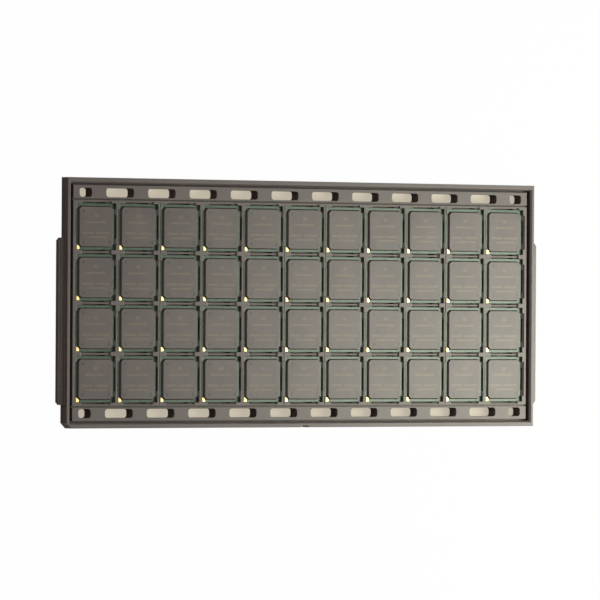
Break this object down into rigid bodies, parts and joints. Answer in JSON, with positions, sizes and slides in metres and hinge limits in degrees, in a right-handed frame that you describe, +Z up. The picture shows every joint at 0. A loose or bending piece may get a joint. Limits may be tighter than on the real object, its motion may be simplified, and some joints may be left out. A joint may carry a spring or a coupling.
{
  "type": "ic matrix tray",
  "caption": "Thin stackable moulded tray with a lattice of square pockets, holding ball grid array chip packages for handling and shipping.",
  "frame": {"origin": "middle of the tray's footprint, on the flat face that it rests on", "axes": "+X along the columns of pockets (the long side), +Y across the rows towards the rear long edge, +Z up"},
  "size_m": [0.3226, 0.136, 0.0076],
  "materials": {
    "tray_plastic": "matte carbon-filled moulding plastic, dark brownish grey",
    "package": "matte grey-brown moulding compound on a green laminate substrate"
  },
  "bodies": {
    "root": {"tray": "tray_plastic", "package_r1_c01": "package", "package_r1_c02": "package", "package_r1_c03": "package", "package_r1_c04": "package", "package_r1_c05": "package", "package_r1_c06": "package", "package_r1_c07": "package", "package_r1_c08": "package", "package_r1_c09": "package", "package_r1_c10": "package", "package_r1_c11": "package", "package_r2_c01": "package", "package_r2_c02": "package", "package_r2_c03": "package", "package_r2_c04": "package", "package_r2_c05": "package", "package_r2_c06": "package", "package_r2_c07": "package", "package_r2_c08": "package", "package_r2_c09": "package", "package_r2_c10": "package", "package_r2_c11": "package", "package_r3_c01": "package", "package_r3_c02": "package", "package_r3_c03": "package", "package_r3_c04": "package", "package_r3_c05": "package", "package_r3_c06": "package", "package_r3_c07": "package", "package_r3_c08": "package", "package_r3_c09": "package", "package_r3_c10": "package", "package_r3_c11": "package", "package_r4_c01": "package", "package_r4_c02": "package", "package_r4_c03": "package", "package_r4_c04": "package", "package_r4_c05": "package", "package_r4_c06": "package", "package_r4_c07": "package", "package_r4_c08": "package", "package_r4_c09": "package", "package_r4_c10": "package", "package_r4_c11": "package"}
  },
  "joints": []
}
